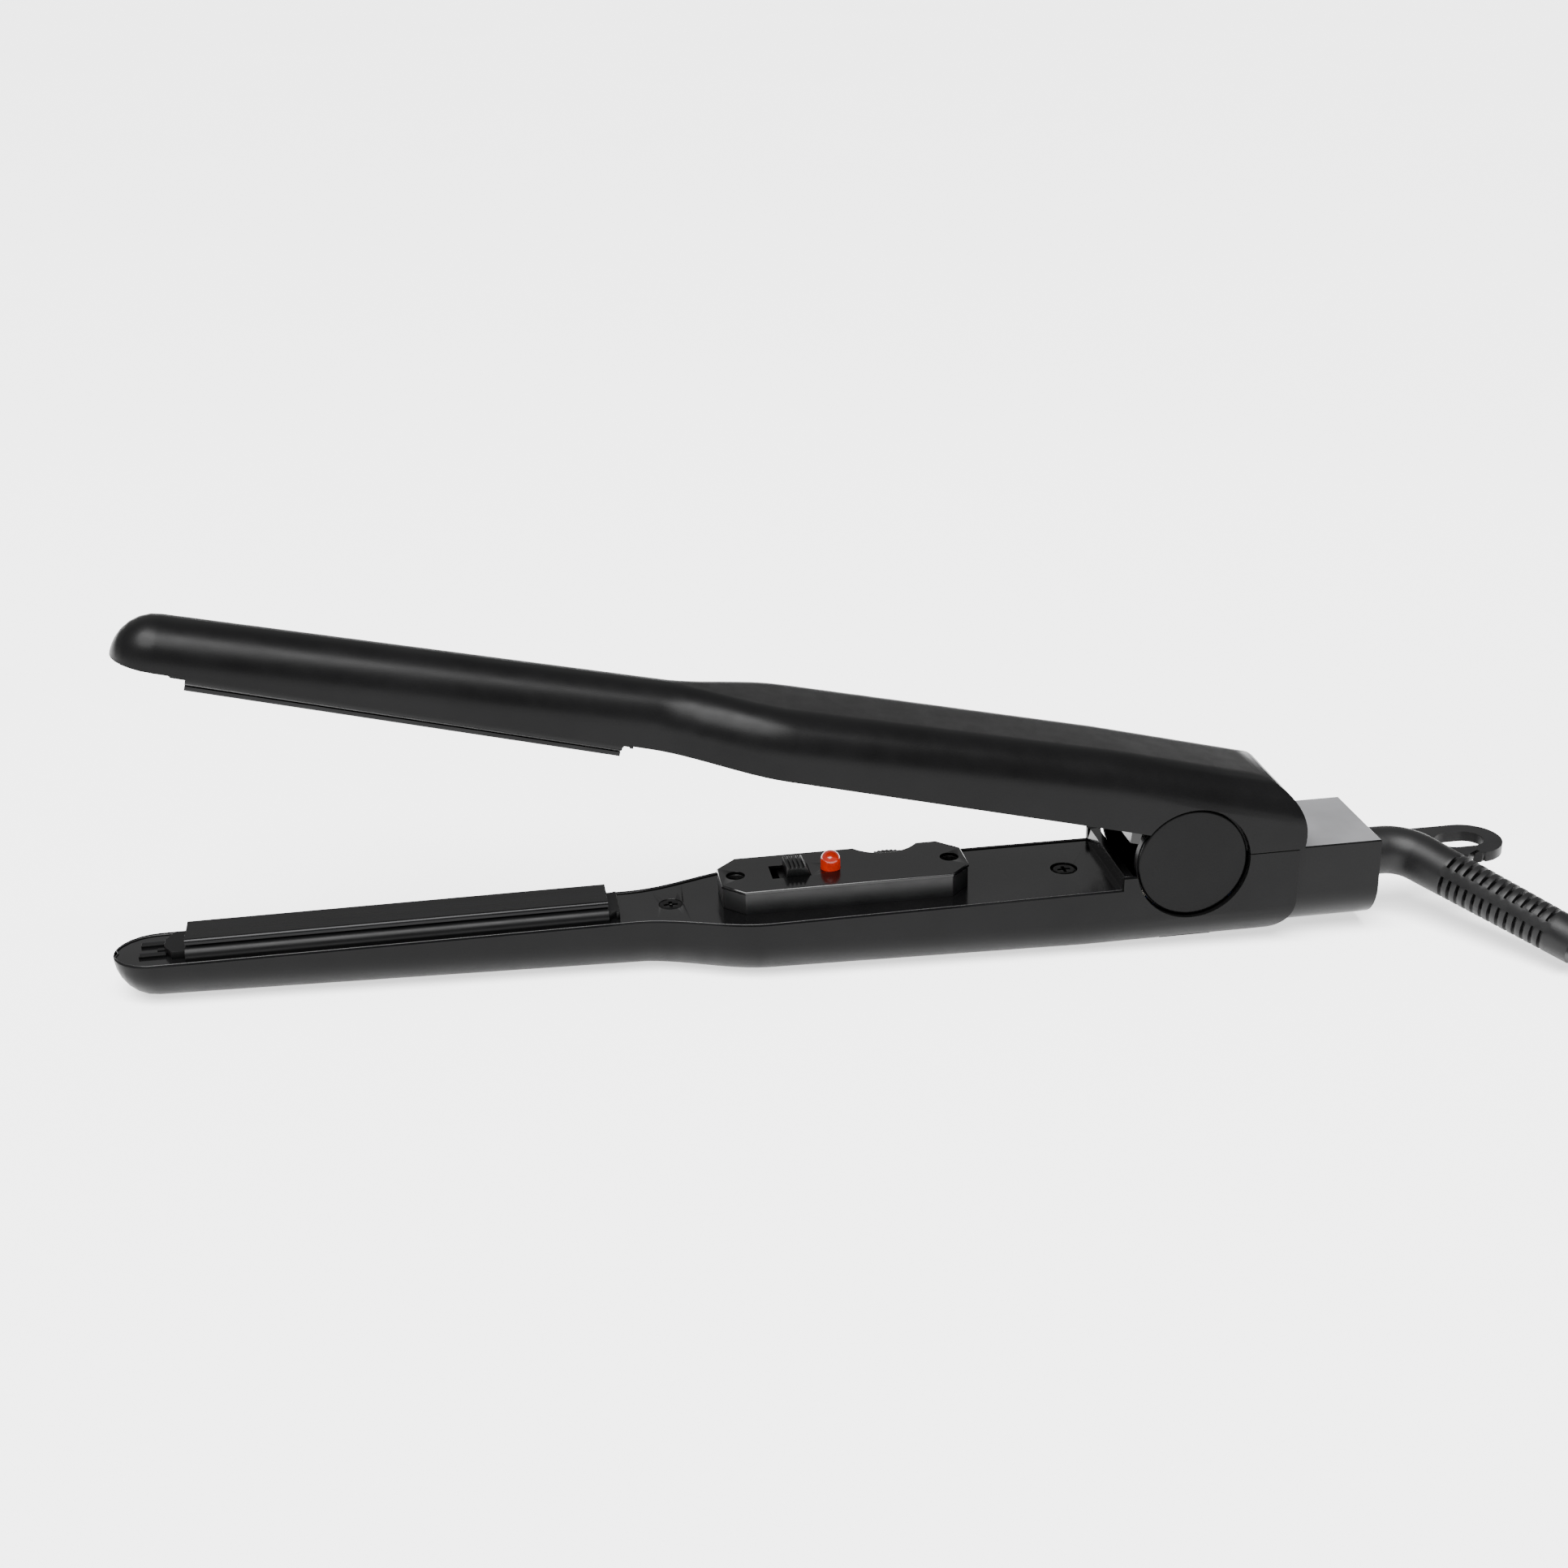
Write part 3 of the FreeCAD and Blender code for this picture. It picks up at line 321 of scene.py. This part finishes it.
def half_width(x):
    flare = min(1.0, max(0.0, (x - FLARE_START_X) / -FLARE_START_X))
    width = FRONT_HALF + (GRIP_HALF - FRONT_HALF) * flare * flare * (3 - 2 * flare)
    width -= (GRIP_HALF - HINGE_HALF) * min(1.0, max(0.0, x / STEP_X))
    t = max(0.0, (TIP_X + NOSE - x) / NOSE)
    return width * math.sqrt(max(0.0, 1 - t * t))


def rim_bead(name, body, to_row, material):
    """Thin rounded lip where a housing's rim meets the sunk inner panel, coloured lighter than the housing
    as a painted highlight along the rim.
    """
    nose = [TIP_X + NOSE * (1 - math.cos(math.radians(a))) for a in NOSE_ANGLES]
    neck = [TIP_X + NOSE + NECK_STEP * k for k in range(1, 9)]
    flare = [FLARE_START_X + FLARE_STEP * k for k in range(11)]
    side = [(x, half_width(x) - BEAD_INSET) for x in nose + neck + flare + GRIP_POINTS]
    outline = [(x, -y) for x, y in reversed(side)] + [(TIP_X + BEAD_INSET, 0.0)] + side
    curve = bpy.data.curves.new(name, "CURVE")
    curve.dimensions = "3D"
    curve.bevel_depth = BEAD_R * MM
    curve.bevel_resolution = 3
    curve.use_fill_caps = True
    spline = curve.splines.new("POLY")
    spline.points.add(len(outline) - 1)
    for target, (x, y) in zip(spline.points, outline):
        target.co = (*(to_row @ Vector((x, y, RIM_Z))) * MM, 1)
    curve.materials.append(material)
    obj = bpy.data.objects.new(name, curve)
    bpy.context.scene.collection.objects.link(obj)
    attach(obj, body)


# ---- cord ----

def hank_loop(ring):
    """One turn seen from above: a round lobe at each end and a waist that the tie draws in."""
    lobe = HANK_LOBE - HANK_PITCH * ring
    waist = HANK_WAIST - HANK_PITCH * ring
    centre = HANK_HALF_LENGTH - HANK_LOBE
    reach = lobe / math.cos(math.radians(LOBE_STEP / 2))
    right = [(centre + reach * math.cos(a), reach * math.sin(a))
             for a in (math.radians(LOBE_STEP * k) for k in range(-4, 5))]
    sweep = [centre * k / 4 for k in range(3, -4, -1)]
    far = [(x, waist + (lobe - waist) * (1 - math.cos(math.pi * x / centre)) / 2) for x in sweep]
    half_turn = right + far
    turn = half_turn + [(-x, -y) for x, y in half_turn]
    return turn[-7:] + turn[:-7]


def hank_points():
    """Six turns on two rings, in layers. Each drifts to the next one's place over its last lobe."""
    points = []
    for (ring, layer), (next_ring, next_layer) in zip(TURNS, TURNS[1:]):
        here, there = hank_loop(ring), hank_loop(next_ring)
        for k, (a, b) in enumerate(zip(here, there)):
            t = max(0.0, (k - DRIFT_FROM) / (len(here) - DRIFT_FROM))
            t = t * t * (3 - 2 * t)
            x, y = a[0] + (b[0] - a[0]) * t, a[1] + (b[1] - a[1]) * t
            level = layer + (next_layer - layer) * t
            points.append(Vector((HANK_X + x, HANK_Y + y, HANK_LOW + LAYER_PITCH * level)))
    return points


def cord(materials):
    points = mm(CORD_ROUTE) + [p * MM for p in hank_points()] + mm(CORD_TAIL)
    curve = bpy.data.curves.new("mains_cord_line", "CURVE")
    curve.dimensions = "3D"
    curve.bevel_depth = CORD_D / 2 * MM
    curve.bevel_resolution = 5
    curve.use_fill_caps = True
    spline = curve.splines.new("NURBS")
    spline.points.add(len(points) - 1)
    for target, p in zip(spline.points, points):
        target.co = (*p, 1)
    spline.order_u = 3
    spline.use_endpoint_u = True
    spline.resolution_u = 8
    curve.materials.append(materials["cord_black"])
    line = bpy.data.objects.new("mains_cord_line", curve)
    bpy.context.scene.collection.objects.link(line)
    tube = bpy.data.meshes.new_from_object(line)
    curve.bevel_depth = 0
    bpy.context.view_layer.update()
    path = [v.co.copy() for v in bpy.data.meshes.new_from_object(line).vertices]
    bpy.data.objects.remove(line)
    tube.shade_smooth()
    obj = bpy.data.objects.new("mains_cord_tube", tube)
    bpy.context.scene.collection.objects.link(obj)
    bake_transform(obj)
    follow_boot(obj, path)
    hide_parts(*CORD_NODES)
    return obj


def follow_boot(obj, path):
    """Works out each point's share of the bend by its distance along the cord; the shares are not stored on
    the mesh, so nothing bends.
    """
    line = KDTree(len(path))
    run = 0.0
    shares = []
    for k, point in enumerate(path):
        run += (point - path[max(0, k - 1)]).length
        t = min(1.0, run / (LEAD_LENGTH * MM))
        shares.append(t * t * (3 - 2 * t))
        line.insert(point, k)
    line.balance()
    values = [shares[line.find(v.co)[1]] for v in obj.data.vertices]


# ---- stage ----

def camera():
    data = bpy.data.cameras.new("camera")
    data.lens, data.sensor_width = LENS, SENSOR
    data.clip_start, data.clip_end = 0.01, 20
    obj = bpy.data.objects.new("camera", data)
    bpy.context.scene.collection.objects.link(obj)
    forward = Vector(CAMERA_FORWARD).normalized()
    right = Vector(CAMERA_RIGHT)
    right = (right - forward * right.dot(forward)).normalized()
    up = right.cross(forward)
    turn = Matrix((right, up, -forward)).transposed().to_4x4()
    obj.matrix_world = Matrix.Translation(Vector(CAMERA_AT) * MM) @ turn
    bpy.context.scene.camera = obj


def floor():
    """A wide pale sheet. The camera looks down on it, so its far edge is never seen level."""
    mesh = bpy.data.meshes.new("floor")
    bm = bmesh.new()
    bmesh.ops.create_grid(bm, x_segments=1, y_segments=1, size=FLOOR_HALF)
    bm.to_mesh(mesh)
    bm.free()
    s = Shader("floor", Roughness=0.7, Specular_IOR_Level=0.2, Emission_Strength=FLOOR_GLOW)
    s.bsdf.inputs["Emission Color"].default_value = (1, 1, 1, 1)
    s.colour(s.noise(3, 2), (0.93, 0.93, 0.93), (0.95, 0.95, 0.95))
    mesh.materials.append(s.mat)
    obj = bpy.data.objects.new("floor", mesh)
    bpy.context.scene.collection.objects.link(obj)


def area_light(name, at, target, size, power):
    data = bpy.data.lights.new(name, "AREA")
    data.shape = "RECTANGLE"
    data.size, data.size_y = size
    data.energy = power
    obj = bpy.data.objects.new(name, data)
    bpy.context.scene.collection.objects.link(obj)
    obj.location = at
    obj.rotation_euler = (Vector(target) - Vector(at)).to_track_quat("-Z", "Y").to_euler()


def sky_panel(towards, width_degrees, power):
    """A very wide, very far light, so that the whole floor is lit alike and shadows stay soft."""
    data = bpy.data.lights.new("sky_panel", "SUN")
    data.angle = math.radians(width_degrees)
    data.energy = power
    obj = bpy.data.objects.new("sky_panel", data)
    bpy.context.scene.collection.objects.link(obj)
    obj.rotation_euler = Vector(towards).to_track_quat("Z", "Y").to_euler()


def lights():
    world = bpy.data.worlds.new("studio")
    world.use_nodes = True
    background = world.node_tree.nodes["Background"]
    background.inputs["Color"].default_value = (1, 1, 1, 1)
    background.inputs["Strength"].default_value = ROOM_LIGHT
    bpy.context.scene.world = world
    sky_panel(SKY_TOWARDS, SKY_WIDTH, SKY_POWER)
    area_light("top_softbox", SOFTBOX_AT, SOFTBOX_TARGET, SOFTBOX_SIZE, SOFTBOX_POWER)


# ---- everything ----

def main():
    materials = make_materials()
    slots = {part["node"]: part["material_slot"] for part in frame["record"]["subparts"]}
    camera()
    floor()
    lights()
    cord(materials)
    rim_bead("lower_rim_bead", "lower_arm", LOWER_ARM, materials["rim_lip_painted_highlight"])
    rim_bead("upper_rim_bead", "upper_arm", UPPER_ARM, materials["rim_lip_painted_highlight"])
    for node in NODES:
        if node not in CORD_NODES:
            finish_node(node, materials, slots)
    glossy_painted_reflection_top(NODES["tail_block"], materials["tail_top_painted_reflection"])
    flex_pieces()


main()
